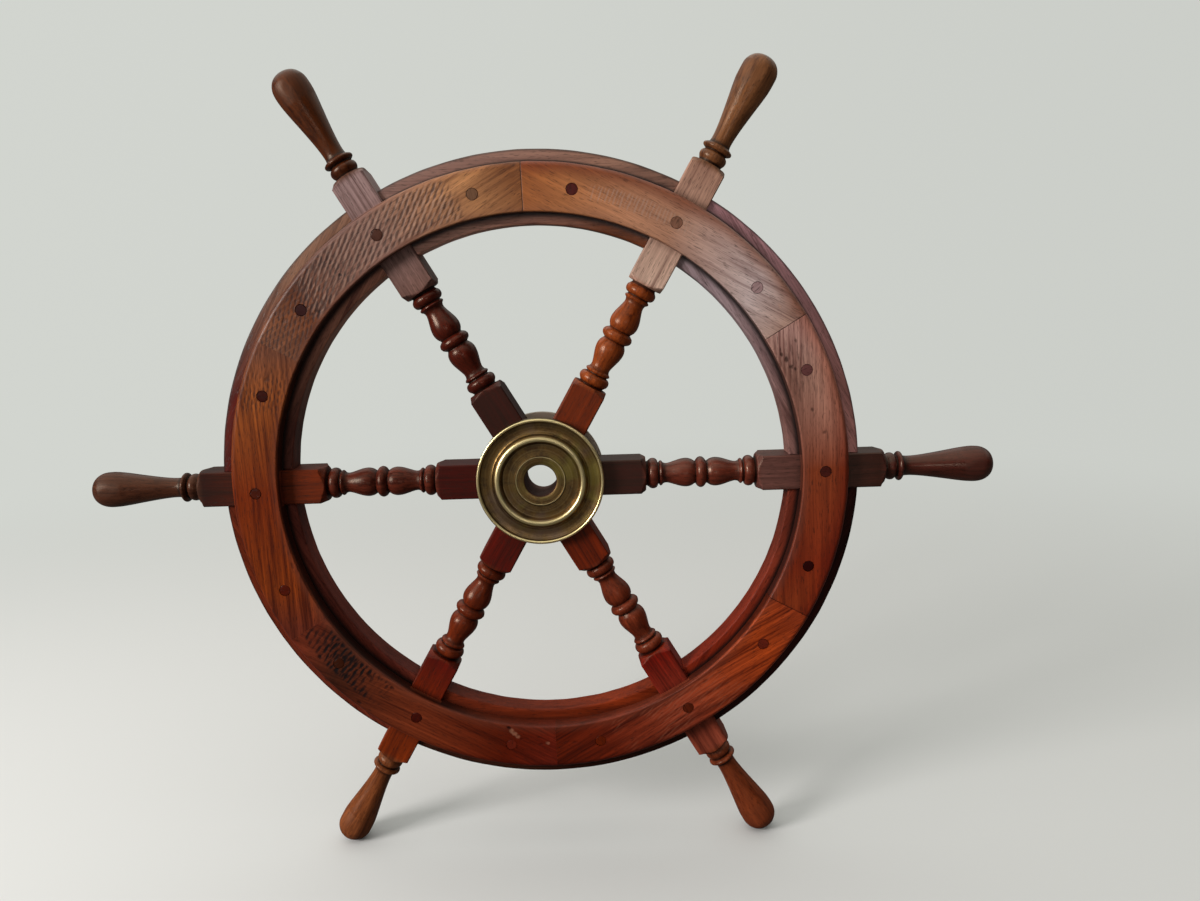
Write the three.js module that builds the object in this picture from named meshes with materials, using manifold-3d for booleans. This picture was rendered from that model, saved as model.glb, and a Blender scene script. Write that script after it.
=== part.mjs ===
// Six-spoke ship steering wheel, 914 mm across the handle tips.
//
// Frame: origin at the wheel's centre, shaft axis along Y, front towards -Y, +Z up.
// Spokes stand at 0, 60, ... 300 degrees, counted from +X towards +Z.
//
// The rim is three layers thick. Six middle felloes fill the gaps between the spokes,
// and six front and six rear felloes cover them, each notched over one spoke. Eighteen
// dowels go right through the rim. Two brass flanges clamp the spokes' wedge-shaped
// inner ends round a brass bush, and six wood screws hold the rear flange.

import * as THREE from 'three';
import { mergeVertices } from 'three/addons/utils/BufferGeometryUtils.js';
import Module from 'manifold-3d';

const wasm = await Module();
wasm.setup();

// ---- driving dimensions, millimetres and degrees ----
const SPOKES = 6;
const TIP_RADIUS = 457; // handle tip
const GAP = 0.3; // clearance between pieces that touch
const PITCH = 360 / SPOKES;

// rim
const FACE_INNER = 260; // front and rear felloes
const FACE_OUTER = 306;
const FACE_ROUND = 5; // rounded outer edge
const FACE_BEVEL = 1.5; // eased inner edge
const FACE_TURN = 1; // how far round the face rings sit from the spokes
const MIDDLE_INNER = 249; // middle felloes
const MIDDLE_OUTER = 319;
const MIDDLE_EDGE = 2;
const MIDDLE_HALF = 13; // half the middle layer's thickness
const RIM_HALF = 30; // half the rim's thickness
const RIM_FACETS = 48;

// dowels through the rim
const DOWEL_RADIUS = 5.5;
const DOWEL_CIRCLE = 282;
const DOWEL_ANGLES = { a: -19.5, b: 0.5, c: 21.5 }; // from the spoke each felloe covers
const DOWEL_FACETS = 8;

// spokes, turned from square stock
const STOCK_HALF = 17.5;
const STOCK_CORNER = 27; // turning radius that leaves the square untouched
const INNER_BLOCK_END = 104;
const OUTER_BLOCK_START = 219;
const OUTER_BLOCK_END = 344;
const SPOKE_FACETS = 10;

// hub
const BUSH_RADIUS = 25;
const BORE_RADIUS = 16;
const BUSH_FRONT = 22.6; // bush end, from the mid-plane
const BORE_CHAMFER = 1.5;
const FLANGE_RADIUS = 63.5;
const FLANGE_SEAT = STOCK_HALF + GAP;
const NUT_SEAT = 22; // flat floor round the bush, where a shaft nut bears
const REAR_FACE = 25.8;
const HUB_FACETS = 24;

// screws through the rear flange
const SCREW_CIRCLE = 44;
const SCREW_HEAD = 4.6;
const SCREW_SHANK = 2.2;
const SCREW_CONE = 2.6;
const SCREW_RIM = 0.5; // straight edge of the head
const SCREW_END = 4; // screw tip, from the mid-plane
const SCREW_FACETS = 8;

// ---- materials ----
const finish = (color, roughness, metalness = 0) =>
  new THREE.MeshStandardMaterial({ color, roughness, metalness });
const FELLOE_WOOD = finish(0x7a3a1a, 0.35);
const MIDDLE_WOOD = finish(0x4a2a20, 0.45);
const SPOKE_WOOD = finish(0x6a2a14, 0.3);
const DOWEL_WOOD = finish(0x2c1610, 0.5);
const HUB_BRASS = finish(0x8a7440, 0.35, 1);
const SCREW_BRASS = finish(0xa88c4c, 0.4, 1);

// ---- shape helpers ----
const radians = (degrees) => (degrees * Math.PI) / 180;

function solidOf(geometry) {
  const bare = geometry.clone();
  bare.deleteAttribute('normal');
  bare.deleteAttribute('uv');
  const merged = mergeVertices(bare, 1e-4);
  const index = merged.index.array;
  const triangles = [];
  for (let i = 0; i < index.length; i += 3) {
    const [a, b, c] = [index[i], index[i + 1], index[i + 2]];
    if (a !== b && b !== c && c !== a) triangles.push(a, b, c);
  }
  return new wasm.Manifold(new wasm.Mesh({
    numProp: 3,
    vertProperties: new Float32Array(merged.attributes.position.array),
    triVerts: new Uint32Array(triangles),
  }));
}

function geometryOf(solid) {
  const { vertProperties, triVerts } = solid.getMesh();
  const geometry = new THREE.BufferGeometry();
  geometry.setAttribute('position', new THREE.BufferAttribute(vertProperties, 3));
  geometry.setIndex(new THREE.BufferAttribute(triVerts, 1));
  geometry.computeVertexNormals();
  return geometry;
}

// Turns a closed outline of [radius, height] points about Y. On the front side
// the heights point towards -Y, and the outline runs backwards to face outwards.
function turned(outline, facets, front = false) {
  const points = outline.map(([r, h]) => new THREE.Vector2(r, front ? -h : h));
  if (front) points.reverse();
  return new THREE.LatheGeometry(points, facets);
}

const closed = (outline) => [...outline, outline[0]];

// Prism with an [x, z] outline, centred on the mid-plane, of the given depth in Y.
function prism(outline, depth) {
  const shape = new THREE.Shape(outline.map(([x, z]) => new THREE.Vector2(x, z)));
  const geometry = new THREE.ExtrudeGeometry(shape, { depth, bevelEnabled: false });
  return geometry.rotateX(Math.PI / 2).translate(0, depth / 2, 0);
}

// Sixty-degree wedge about +X whose sides stand clear of its neighbours' centre lines.
function wedge(clearance) {
  const half = radians(PITCH / 2);
  const apex = clearance / Math.sin(half);
  const reach = MIDDLE_OUTER + 60;
  const spread = (reach - apex) * Math.tan(half);
  return prism([[apex, 0], [reach, -spread], [reach, spread]], 4 * RIM_HALF);
}

function place(name, geometry, material, angle = 0) {
  const mesh = new THREE.Mesh(geometry, material);
  mesh.name = name;
  mesh.rotation.y = -radians(angle);
  return mesh;
}

// A pin's geometry, moved out along +X and then swung round to its angle.
const atAngle = (geometry, radius, angle) =>
  geometry.translate(radius, 0, 0).rotateY(-radians(angle));

const dowelHole = (angle) => solidOf(atAngle(
  new THREE.CylinderGeometry(DOWEL_RADIUS + GAP, DOWEL_RADIUS + GAP, 3 * RIM_HALF, DOWEL_FACETS),
  DOWEL_CIRCLE, angle,
));

// ---- rim ----
// Covers one spoke, which lies FACE_TURN back from the felloe's own middle.
function faceFelloe(front) {
  const seat = MIDDLE_HALF + GAP;
  const ring = turned(closed([
    [FACE_INNER, seat],
    [FACE_OUTER, seat],
    [FACE_OUTER, RIM_HALF - FACE_ROUND],
    [FACE_OUTER - 0.3 * FACE_ROUND, RIM_HALF - 0.3 * FACE_ROUND],
    [FACE_OUTER - FACE_ROUND, RIM_HALF],
    [FACE_INNER + FACE_BEVEL, RIM_HALF],
    [FACE_INNER, RIM_HALF - FACE_BEVEL],
  ]), RIM_FACETS, front);
  const notch = new THREE.BoxGeometry(200, 2 * FLANGE_SEAT, 2 * FLANGE_SEAT);
  notch.translate(FACE_OUTER, 0, 0).rotateY(radians(FACE_TURN));
  let felloe = solidOf(ring).intersect(solidOf(wedge(GAP / 2))).subtract(solidOf(notch));
  for (const angle of Object.values(DOWEL_ANGLES)) {
    felloe = felloe.subtract(dowelHole(angle - FACE_TURN));
  }
  return geometryOf(felloe);
}

// Fills the gap between two spokes; built about +X, half a pitch from either spoke.
function middleFelloe() {
  const ring = turned(closed([
    [MIDDLE_INNER, MIDDLE_EDGE - MIDDLE_HALF],
    [MIDDLE_INNER + MIDDLE_EDGE, -MIDDLE_HALF],
    [MIDDLE_OUTER - MIDDLE_EDGE, -MIDDLE_HALF],
    [MIDDLE_OUTER, MIDDLE_EDGE - MIDDLE_HALF],
    [MIDDLE_OUTER, MIDDLE_HALF - MIDDLE_EDGE],
    [MIDDLE_OUTER - MIDDLE_EDGE, MIDDLE_HALF],
    [MIDDLE_INNER + MIDDLE_EDGE, MIDDLE_HALF],
    [MIDDLE_INNER, MIDDLE_HALF - MIDDLE_EDGE],
  ]), RIM_FACETS);
  let felloe = solidOf(ring).intersect(solidOf(wedge(STOCK_HALF + GAP)));
  const { a, c } = DOWEL_ANGLES;
  for (const angle of [c - PITCH / 2, a + PITCH / 2]) felloe = felloe.subtract(dowelHole(angle));
  return geometryOf(felloe);
}

// ---- spokes ----
// Half of the baluster, as [radius, distance from the block's end].
const HALF_BALUSTER = [
  [STOCK_CORNER, -3.5], // shoulder cut into the square
  [17, 0.8],
  [12.8, 2.6],
  [13.2, 5], // end bead
  [15.3, 9],
  [13, 13.4],
  [11, 14.6], // fillet
  [12.6, 17],
  [10.6, 19.6],
  [9.8, 22.7], // neck
  [12.4, 33], // bulb
  [14.3, 43.5],
  [11.4, 51.8], // groove
  [15, 55.2], // half of the central bead
];

// Collar and grip, as [radius, distance from the spoke's centre].
const HANDLE = [
  [STOCK_CORNER, OUTER_BLOCK_END - 3.5],
  [17, OUTER_BLOCK_END + 0.8],
  [11.8, 348],
  [13.2, 352.5], // small bead
  [13.2, 355.5],
  [10.8, 358.6],
  [14.6, 361.2], // disc
  [14.6, 363.8],
  [10.2, 366.8],
  [9.9, 373], // grip
  [12, 394],
  [16.2, 422],
  [17.9, 437],
  [17, 446.5],
  [13.2, 453],
  [0, TIP_RADIUS],
];

function spokeOutline() {
  const middle = (INNER_BLOCK_END + OUTER_BLOCK_START) / 2;
  const inner = HALF_BALUSTER.map(([r, s]) => [r, INNER_BLOCK_END + s]);
  const outer = HALF_BALUSTER.map(([r, s]) => [r, OUTER_BLOCK_START - s]).reverse();
  const crown = [15.6, middle];
  return [[0, 0], [STOCK_CORNER, 0], ...inner, crown, ...outer, ...HANDLE];
}

// Built along +X; the wedge end stands clear of the bush and of both neighbours.
function spoke() {
  const lathe = turned(spokeOutline(), SPOKE_FACETS).rotateZ(-Math.PI / 2);
  const slope = Math.tan(radians(PITCH / 2));
  const start = BUSH_RADIUS + GAP;
  const inset = GAP / 2 / Math.cos(radians(PITCH / 2));
  const end = TIP_RADIUS + 10;
  const stock = prism([
    [start, inset - start * slope],
    [(STOCK_HALF + inset) / slope, -STOCK_HALF],
    [end, -STOCK_HALF],
    [end, STOCK_HALF],
    [(STOCK_HALF + inset) / slope, STOCK_HALF],
    [start, start * slope - inset],
  ], 2 * STOCK_HALF);
  const grip = new THREE.BoxGeometry(end - OUTER_BLOCK_END, 80, 80);
  grip.translate((end + OUTER_BLOCK_END) / 2, 0, 0);
  const blank = solidOf(stock).add(solidOf(grip));
  const pilot = turned(screwOutline(GAP), SCREW_FACETS).translate(SCREW_CIRCLE, 0, 0);
  const holes = dowelHole(DOWEL_ANGLES.b).add(solidOf(pilot));
  return geometryOf(solidOf(lathe).intersect(blank).subtract(holes));
}

// ---- hub ----
function frontFlange() {
  return turned(closed([
    [BUSH_RADIUS + GAP, FLANGE_SEAT],
    [FLANGE_RADIUS, FLANGE_SEAT],
    [FLANGE_RADIUS, 26.4], // rounded lip
    [62, 28.4],
    [60.4, 26.8],
    [59, 24.3], // dished annulus
    [53, 23.4],
    [47.6, 24.2],
    [45, 26.8], // raised bead
    [42.4, 27.8],
    [39.9, 26.8],
    [37.8, NUT_SEAT],
    [BUSH_RADIUS + GAP, NUT_SEAT],
  ]), HUB_FACETS, true);
}

function rearFlange() {
  const edge = 2.5;
  const plate = solidOf(turned(closed([
    [BUSH_RADIUS + GAP, FLANGE_SEAT],
    [FLANGE_RADIUS, FLANGE_SEAT],
    [FLANGE_RADIUS, REAR_FACE - edge],
    [FLANGE_RADIUS - edge, REAR_FACE],
    [BUSH_RADIUS + GAP, REAR_FACE],
  ]), HUB_FACETS));
  let flange = plate;
  for (let i = 0; i < SPOKES; i += 1) {
    const hole = turned(screwOutline(GAP), SCREW_FACETS);
    flange = flange.subtract(solidOf(atAngle(hole, SCREW_CIRCLE, i * PITCH)));
  }
  return geometryOf(flange);
}

function bush() {
  return turned(closed([
    [BORE_RADIUS, BORE_CHAMFER - BUSH_FRONT],
    [BORE_RADIUS + BORE_CHAMFER, -BUSH_FRONT],
    [BUSH_RADIUS, -BUSH_FRONT],
    [BUSH_RADIUS, REAR_FACE],
    [BORE_RADIUS + 1, REAR_FACE],
    [BORE_RADIUS, REAR_FACE - 1],
  ]), HUB_FACETS);
}

// Countersunk screw, driven towards -Y; clearance makes the hole it sits in.
function screwOutline(clearance = 0) {
  const top = REAR_FACE - GAP + 4 * clearance;
  return [
    [0, SCREW_END - clearance],
    [SCREW_SHANK + clearance, SCREW_END - clearance],
    [SCREW_SHANK + clearance, REAR_FACE - SCREW_CONE - SCREW_RIM - GAP],
    [SCREW_HEAD + clearance, REAR_FACE - SCREW_RIM - GAP],
    [SCREW_HEAD + clearance, top],
    [0, top],
  ];
}

// ---- assembly ----
const wheel = new THREE.Group();
const faceGeometry = { front: faceFelloe(true), rear: faceFelloe(false) };
const middleGeometry = middleFelloe();
const spokeGeometry = spoke();
const screwGeometry = turned(screwOutline(), SCREW_FACETS).translate(SCREW_CIRCLE, 0, 0);
const dowelGeometry = new THREE.CylinderGeometry(
  DOWEL_RADIUS, DOWEL_RADIUS, 2 * (RIM_HALF - GAP), DOWEL_FACETS,
);
dowelGeometry.translate(DOWEL_CIRCLE, 0, 0);

for (let i = 0; i < SPOKES; i += 1) {
  const number = i + 1;
  const angle = i * PITCH;
  wheel.add(place(`spoke_${number}`, spokeGeometry, SPOKE_WOOD, angle));
  wheel.add(place(`front_felloe_${number}`, faceGeometry.front, FELLOE_WOOD, angle + FACE_TURN));
  wheel.add(place(`rear_felloe_${number}`, faceGeometry.rear, FELLOE_WOOD, angle + FACE_TURN));
  wheel.add(place(`middle_felloe_${number}`, middleGeometry, MIDDLE_WOOD, angle + PITCH / 2));
  wheel.add(place(`hub_screw_${number}`, screwGeometry, SCREW_BRASS, angle));
  for (const [side, offset] of Object.entries(DOWEL_ANGLES)) {
    wheel.add(place(`dowel_${number}${side}`, dowelGeometry, DOWEL_WOOD, angle + offset));
  }
}
wheel.add(place('hub_front_flange', frontFlange(), HUB_BRASS));
wheel.add(place('hub_rear_flange', rearFlange(), HUB_BRASS));
wheel.add(place('hub_bush', bush(), HUB_BRASS));

export default wheel;
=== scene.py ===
"""A varnished rosewood ship's wheel with a brass hub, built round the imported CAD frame."""

import math

import bmesh
import bpy
import numpy as np
from mathutils import Matrix, noise, Vector


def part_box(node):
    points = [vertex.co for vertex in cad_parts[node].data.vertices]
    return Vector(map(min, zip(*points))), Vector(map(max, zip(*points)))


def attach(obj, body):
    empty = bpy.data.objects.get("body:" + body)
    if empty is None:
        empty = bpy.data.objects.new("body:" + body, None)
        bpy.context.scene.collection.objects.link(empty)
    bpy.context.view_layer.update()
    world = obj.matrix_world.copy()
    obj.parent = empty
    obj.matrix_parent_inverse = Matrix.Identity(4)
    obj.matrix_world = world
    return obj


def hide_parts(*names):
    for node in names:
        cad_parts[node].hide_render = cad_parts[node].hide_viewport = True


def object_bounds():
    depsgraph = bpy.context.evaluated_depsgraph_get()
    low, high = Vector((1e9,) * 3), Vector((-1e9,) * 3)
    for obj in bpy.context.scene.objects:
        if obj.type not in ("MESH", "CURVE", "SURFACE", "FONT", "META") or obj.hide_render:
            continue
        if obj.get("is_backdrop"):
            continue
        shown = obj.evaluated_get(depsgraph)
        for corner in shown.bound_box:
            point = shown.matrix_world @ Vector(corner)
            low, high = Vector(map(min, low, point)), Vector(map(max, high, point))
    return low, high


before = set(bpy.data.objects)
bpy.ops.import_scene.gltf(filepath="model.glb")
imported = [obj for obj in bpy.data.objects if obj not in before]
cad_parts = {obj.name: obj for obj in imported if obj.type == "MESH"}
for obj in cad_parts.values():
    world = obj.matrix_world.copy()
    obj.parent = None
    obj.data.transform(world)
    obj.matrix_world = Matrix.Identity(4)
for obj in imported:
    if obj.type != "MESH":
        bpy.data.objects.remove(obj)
CAD_LOW, CAD_HIGH = (tuple(v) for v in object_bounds())

MM = 0.001
SPOKES = 6
PITCH = 360 / SPOKES
GAP = 0.3

# Radii and depths of the CAD frame, in millimetres.
TIP = CAD_HIGH[0] / MM
RIM_HALF = CAD_HIGH[1] / MM
FACE_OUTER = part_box("front_felloe_1")[1][0] / MM
FACE_INNER = 260.0
MIDDLE_INNER = 249.0
MIDDLE_OUTER = 319.0
MIDDLE_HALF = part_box("middle_felloe_1")[1][1] / MM
STOCK_HALF = 17.5
DOWEL_CIRCLE = 282.0
DOWEL_ANGLES = {"a": -19.5, "b": 0.5, "c": 21.5}
FACE_TURN = 1.0
DOWEL_RADIUS = 5.5
HUB_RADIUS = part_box("hub_front_flange")[1][0] / MM
BUSH_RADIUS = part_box("hub_bush")[1][0] / MM
REAR_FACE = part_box("hub_rear_flange")[1][1] / MM
BORE_RADIUS = 16.0
SCREW_CIRCLE = 44.0

# Half the length of a cutter that goes right through the rim, and the sides of a pin or a dowel.
THROUGH = 40.0
PIN_SIDES = 28
# Edges sharper than this many degrees stay crisp in the shading.
PLAIN_CREASE, FELLOE_CREASE, SPOKE_CREASE, METAL_CREASE = 35, 40, 32, 28


# ------------------------ geometry

def ripple(x, y, z=0.0, scale=1.0):
    """Smooth noise from about -1 to 1 at a point given in millimetres."""
    return noise.noise(Vector((x, y, z)) / scale)


def shade(mesh, crease):
    mesh.shade_smooth()
    mesh.set_sharp_from_angle(angle=math.radians(crease))


def placed(name, data):
    """An object in the scene from a mesh, a light or a camera."""
    ob = bpy.data.objects.new(name, data)
    bpy.context.scene.collection.objects.link(ob)
    return ob


def new_object(name, verts, faces, angle=0.0, crease=PLAIN_CREASE, wear_and_shade=None):
    """A mesh object from points in millimetres, turned by angle about Y. Its last argument is a value for
    each point,
    which the material reads: over 0 darkens the point, for real dirt and dark marks and for painted shade in
    creases, and under 0 rubs it pale."""
    mesh = bpy.data.meshes.new(name)
    mesh.from_pydata([tuple(c * MM for c in v) for v in verts], [], faces)
    if wear_and_shade:
        mesh.attributes.new("wear_and_shade", "FLOAT", "POINT").data.foreach_set("value", wear_and_shade)
    bm = bmesh.new()
    bm.from_mesh(mesh)
    bmesh.ops.remove_doubles(bm, verts=bm.verts, dist=1e-6)
    bmesh.ops.recalc_face_normals(bm, faces=bm.faces)
    bm.to_mesh(mesh)
    bm.free()
    shade(mesh, crease)
    ob = placed(name, mesh)
    ob.rotation_euler = (0.0, -math.radians(angle), 0.0)
    return ob


def loop_faces(rows, columns, close_rows=False):
    """Quads between rows of points, where each row is a closed loop."""
    faces = []
    last = rows if close_rows else rows - 1
    for i in range(last):
        a, b = i * columns, ((i + 1) % rows) * columns
        for j in range(columns):
            k = (j + 1) % columns
            faces.append((a + j, a + k, b + k, b + j))
    return faces


def catmull(points, steps):
    """Points of a smooth curve through the given ones."""
    pts = [np.array(p, float) for p in points]
    pts = [2 * pts[0] - pts[1], *pts, 2 * pts[-1] - pts[-2]]
    out = []
    for i in range(1, len(pts) - 2):
        p0, p1, p2, p3 = pts[i - 1:i + 3]
        for s in range(steps):
            t = s / steps
            out.append(tuple(0.5 * (2 * p1 + (p2 - p0) * t + (2 * p0 - 5 * p1 + 4 * p2 - p3) * t * t
                                    + (3 * p1 - p0 - 3 * p2 + p3) * t ** 3)))
    out.append(tuple(pts[-2]))
    return out


def arc(cx, cy, radius, start, end, steps):
    """Points on a circle's arc, angles in degrees."""
    angles = [math.radians(start + (end - start) * i / steps) for i in range(steps + 1)]
    return [(cx + radius * math.cos(a), cy + radius * math.sin(a)) for a in angles]


def turned_ring(name, outline, segments):
    """A closed [radius, y] outline turned about Y."""
    verts = []
    for i in range(segments):
        a = 2 * math.pi * i / segments
        verts += [(r * math.cos(a), y, r * math.sin(a)) for r, y in outline]
    return new_object(name, verts, loop_faces(segments, len(outline), True), crease=METAL_CREASE)


def cut(ob, cutters, crease):
    """Subtracts the cutters from the object, then deletes them."""
    for c in cutters:
        mod = ob.modifiers.new("cut", "BOOLEAN")
        mod.operation = "DIFFERENCE"
        mod.solver = "EXACT"
        mod.object = c
    graph = bpy.context.evaluated_depsgraph_get()
    mesh = bpy.data.meshes.new_from_object(ob.evaluated_get(graph))
    old = ob.data
    ob.modifiers.clear()
    ob.data = mesh
    mesh.name = old.name
    bpy.data.meshes.remove(old)
    for c in cutters:
        bpy.data.meshes.remove(c.data)
    shade(mesh, crease)


def pin(name, outline, at, angle):
    """A pin turned about Y from a [radius, y] outline that starts and ends on its axis."""
    inner = outline[1:-1]
    verts = []
    for r, y in inner:
        for j in range(PIN_SIDES):
            a = 2 * math.pi * j / PIN_SIDES
            verts.append((at + r * math.cos(a), y, r * math.sin(a)))
    verts += [(at, outline[0][1], 0.0), (at, outline[-1][1], 0.0)]
    return new_object(name, verts, capped_faces(len(inner)), angle)


def capped_faces(rows):
    """Quads between a pin's rows of points, and fans to the two end points that follow them."""
    faces = loop_faces(rows, PIN_SIDES)
    base = (rows - 1) * PIN_SIDES
    first = rows * PIN_SIDES
    for j in range(PIN_SIDES):
        k = (j + 1) % PIN_SIDES
        faces += [(first, k, j), (first + 1, base + j, base + k)]
    return faces


def dowel_hole(angle):
    hole = DOWEL_RADIUS + GAP
    outline = [(0, -THROUGH), (hole, -THROUGH), (hole, THROUGH), (0, THROUGH)]
    return pin("hole", outline, DOWEL_CIRCLE, angle)


def box_cutter(name, low, high, angle):
    verts = [(x, y, z) for x in (low[0], high[0]) for y in (low[1], high[1])
             for z in (low[2], high[2])]
    faces = [(0, 1, 3, 2), (4, 6, 7, 5), (0, 4, 5, 1), (2, 3, 7, 6), (0, 2, 6, 4), (1, 5, 7, 3)]
    return new_object(name, verts, faces, angle)


# ------------------------ rim

# Dents in each front felloe's face, as [angle, radius, length, width, depth, tone], where a tone
# over 0 is dark and one under 0 is pale.
PITS = {
    1: [(24.2, 268, 3.2, 2.2, 0.5, 0.9), (22.4, 269, 2.2, 2.0, 0.5, 0.9), (21.6, 272, 2.0, 1.6, 0.4, 0.8),
        (25.5, 266, 2.4, 1.6, 0.4, 0.8), (12.5, 276, 2.4, 1.8, 0.4, 0.7), (7.5, 283, 2.0, 1.8, 0.3, 0.6),
        (26.6, 284, 2.0, 1.4, 0.3, 0.6), (-12.0, 292, 4.0, 1.6, 0.3, 0.4)],
    2: [(-13.0, 276, 5.0, 1.4, 0.3, 0.4), (-26.0, 288, 3.0, 1.4, 0.2, -0.5),
        (11.0, 300, 3.6, 1.4, 0.3, 0.4)],
    3: [(18.5, 268, 2.4, 2.0, 0.5, 0.9), (19.7, 271, 1.8, 1.6, 0.4, 0.8), (10.0, 275, 1.8, 1.8, 0.4, 0.8),
        (24.0, 290, 3.0, 2.4, 0.4, 0.5)],
    4: [(-24.0, 283, 2.6, 2.0, 0.3, 0.5), (16.0, 264, 4.0, 1.6, 0.3, 0.5)],
    5: [(-24.0, 292, 3.0, 2.4, 0.4, 0.6), (-14.0, 270, 4.0, 2.2, 0.5, 0.8), (-8.5, 266, 2.6, 2.0, 0.4, 0.8),
        (-12.0, 300, 3.4, 2.0, 0.5, 0.7), (19.5, 263, 2.4, 2.2, 0.9, 0.95), (20.1, 266, 3.0, 2.8, 0.6, -0.6),
        (20.8, 269, 3.4, 2.6, 0.7, -0.6), (21.6, 272, 2.8, 2.0, 0.5, -0.5), (22.6, 274, 2.4, 1.2, 0.4, 0.5),
        (28.2, 278, 2.6, 2.0, 0.5, -0.5), (26.8, 279, 3.0, 1.4, 0.4, 0.5)],
    6: [(6.0, 268, 4.0, 1.4, 0.3, 0.4), (-26.0, 279, 3.6, 1.4, 0.3, 0.4)],
}
# The saw's ridges on each front felloe's face, as [height, from angle, to angle, the direction
# across them in degrees from the spoke, pitch].
RIDGES = {
    1: (0.02, -30, 30, 10, 4.1),
    2: (0.05, -4, 17, 96, 3.6),
    3: (0.20, -17, 30, 32, 4.1),
    4: (0.08, -30, -18, -16, 4.1),
    5: (0.14, -29, -11, 80, 5.6),
    6: (0.05, -16, 14, 10, 4.1),
}
# Joints that show as a dark line, by the felloes on either side, and how far the faces are worn
# down there. The other joints are closed.
OPEN_JOINTS = {(6, 1), (1, 2), (2, 3)}
OPEN_JOINT_SINK = 0.22
CLOSED_GAP = 0.05
# The wheel's foot, in degrees from spoke 1, and how far each way the painted shade in the step inside the
# front ring is weaker.
FOOT_ANGLE = 276
FOOT_REACH, FOOT_FADE = 30, 10


def limited(value):
    return min(1.0, max(0.0, value))


def groove_shade(angle):
    """Painted shade in the step inside the front ring, weaker round the wheel's foot, where that step is
    lit.
    """
    away = (angle - FOOT_ANGLE) % 360
    away = min(away, 360 - away)
    return 0.95 - 0.7 * limited((FOOT_REACH - away) / FOOT_FADE)


def face_depth(number, radius, angle):
    """How far a point of the face lies under its plane, in millimetres, and its wear."""
    turn = math.radians(angle)
    along, across = radius * math.sin(turn), radius * math.cos(turn)
    height, low, high, slant, pitch = RIDGES[number]
    inside = limited((angle - low) / 4) * limited((high - angle) / 4)
    wobble = 1.6 * ripple(along, across, number * 31.0, 26.0)
    patch = limited(0.7 + 1.2 * ripple(along, across, number * 17.0, 34.0))
    c, d = math.cos(math.radians(slant)), math.sin(math.radians(slant))
    ridge = 0.5 + 0.5 * math.sin(2 * math.pi * (across * c + along * d + wobble) / pitch)
    dash = 0.6 + 0.4 * math.sin(2 * math.pi * (along * c - across * d + 2 * wobble) / 6.3)
    depth = height * inside * patch * ridge * dash
    depth += 0.12 * (0.5 + 0.5 * ripple(along, across, number * 7.0, 40.0))
    wear_and_shade = 0.0
    for at, r, length, width, deep, tone in PITS[number]:
        dx, dy = radius * math.radians(angle - at) / length, (radius - r) / width
        reach = (dx * dx + dy * dy) * (1.0 + 0.7 * ripple(along, across, 3.0, 2.0))
        if reach < 1.0:
            depth += deep * (1.0 - reach)
            wear_and_shade += tone * min(1.0, 1.6 * (1.0 - reach))
    return depth, wear_and_shade


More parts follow.
